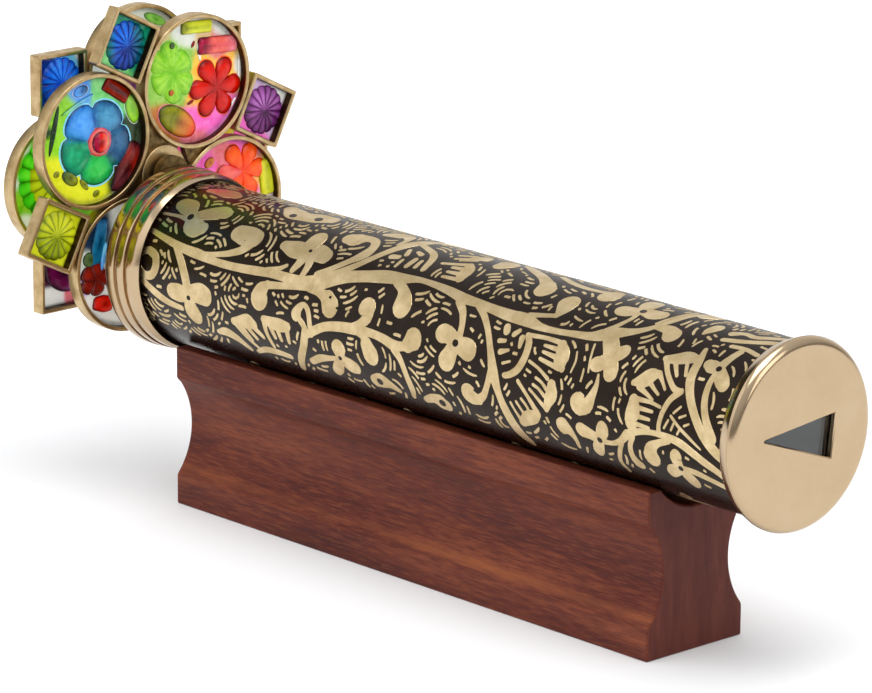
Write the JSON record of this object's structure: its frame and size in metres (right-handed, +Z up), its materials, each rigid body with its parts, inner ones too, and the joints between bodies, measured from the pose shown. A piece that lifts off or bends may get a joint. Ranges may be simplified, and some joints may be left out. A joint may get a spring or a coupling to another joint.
{
  "type": "kaleidoscope",
  "caption": "Brass tube kaleidoscope with a triangular eyehole, two finger-turned jewel wheels on one axle at its far end, and a grooved wooden rest.",
  "frame": {"origin": "centre of the stand's underside, on the surface it stands on", "axes": "+X along the tube towards the eyepiece, +Z up, +Y completes the right-handed frame"},
  "size_m": [0.219, 0.0814, 0.1127],
  "materials": {
    "rosewood": "satin oiled, straight streaky grain",
    "polished_brass": "polished, lightly worn",
    "etched_brass": "polished raised scrollwork",
    "black_lacquer": "semi-gloss dark lacquer in the etched ground",
    "clear_glass": "clear, polished",
    "silvered_mirror": "front-silvered glass",
    "black_card": "matt",
    "grey_foam": "matt, fine-celled",
    "resin_clear": "clear cast resin",
    "resin_green": "tinted cast resin",
    "resin_yellow": "tinted cast resin",
    "resin_blue": "tinted cast resin",
    "resin_pink": "tinted cast resin",
    "resin_purple": "tinted cast resin",
    "bead_red": "pressed glass",
    "bead_orange": "pressed glass",
    "bead_yellow": "pressed glass",
    "bead_lime": "pressed glass",
    "bead_green": "pressed glass",
    "bead_teal": "pressed glass",
    "bead_blue": "pressed glass",
    "bead_purple": "pressed glass"
  },
  "bodies": {
    "stand": {"wooden_stand": "rosewood"},
    "scope": {"outer_tube": "black_lacquer", "eyepiece_cap": "polished_brass", "eyepiece_glass": "clear_glass", "objective_glass": "clear_glass", "upper_mirror": "silvered_mirror", "lower_mirror": "silvered_mirror", "black_strip": "black_card", "eyepiece_mirror_holder": "grey_foam", "objective_mirror_holder": "grey_foam", "objective_collar": "polished_brass", "wheel_axle": "polished_brass", "axle_boss": "polished_brass", "wheel_spacer": "polished_brass", "axle_washer": "polished_brass", "axle_cap_nut": "polished_brass"},
    "near_wheel": {"near_hub": "polished_brass", "near_round_bezel_1": "polished_brass", "near_round_jewel_1": "resin_green", "near_flower_bead_1": "bead_red", "near_square_bezel_1": "polished_brass", "near_square_jewel_1": "resin_pink", "near_round_bezel_2": "polished_brass", "near_round_jewel_2": "resin_yellow", "near_flower_bead_2": "bead_teal", "near_square_bezel_2": "polished_brass", "near_square_jewel_2": "resin_green", "near_round_bezel_3": "polished_brass", "near_round_jewel_3": "resin_blue", "near_flower_bead_3": "bead_red", "near_square_bezel_3": "polished_brass", "near_square_jewel_3": "resin_yellow", "near_round_bezel_4": "polished_brass", "near_round_jewel_4": "resin_pink", "near_flower_bead_4": "bead_teal", "near_square_bezel_4": "polished_brass", "near_square_jewel_4": "resin_blue"},
    "far_wheel": {"far_hub": "polished_brass", "far_round_bezel_1": "polished_brass", "far_round_jewel_1": "resin_pink", "far_flower_bead_1": "bead_red", "far_square_bezel_1": "polished_brass", "far_square_jewel_1": "resin_blue", "far_round_bezel_2": "polished_brass", "far_round_jewel_2": "resin_green", "far_flower_bead_2": "bead_teal", "far_square_bezel_2": "polished_brass", "far_square_jewel_2": "resin_pink", "far_round_bezel_3": "polished_brass", "far_round_jewel_3": "resin_yellow", "far_flower_bead_3": "bead_red", "far_square_bezel_3": "polished_brass", "far_square_jewel_3": "resin_green", "far_round_bezel_4": "polished_brass", "far_round_jewel_4": "resin_blue", "far_flower_bead_4": "bead_teal", "far_square_bezel_4": "polished_brass", "far_square_jewel_4": "resin_yellow"}
  },
  "joints": [
    {"name": "lift_from_stand", "type": "slide", "parent": "stand", "child": "scope", "axis": [0, 0, 1], "range_m": [0, 0.1]},
    {"name": "near_wheel_spin", "type": "hinge", "parent": "scope", "child": "near_wheel", "pos_m": [-0.09875, 0, 0.07197], "axis": [1, 0, 0], "continuous": true},
    {"name": "far_wheel_spin", "type": "hinge", "parent": "scope", "child": "far_wheel", "pos_m": [-0.10645, 0, 0.07197], "axis": [1, 0, 0], "continuous": true}
  ]
}
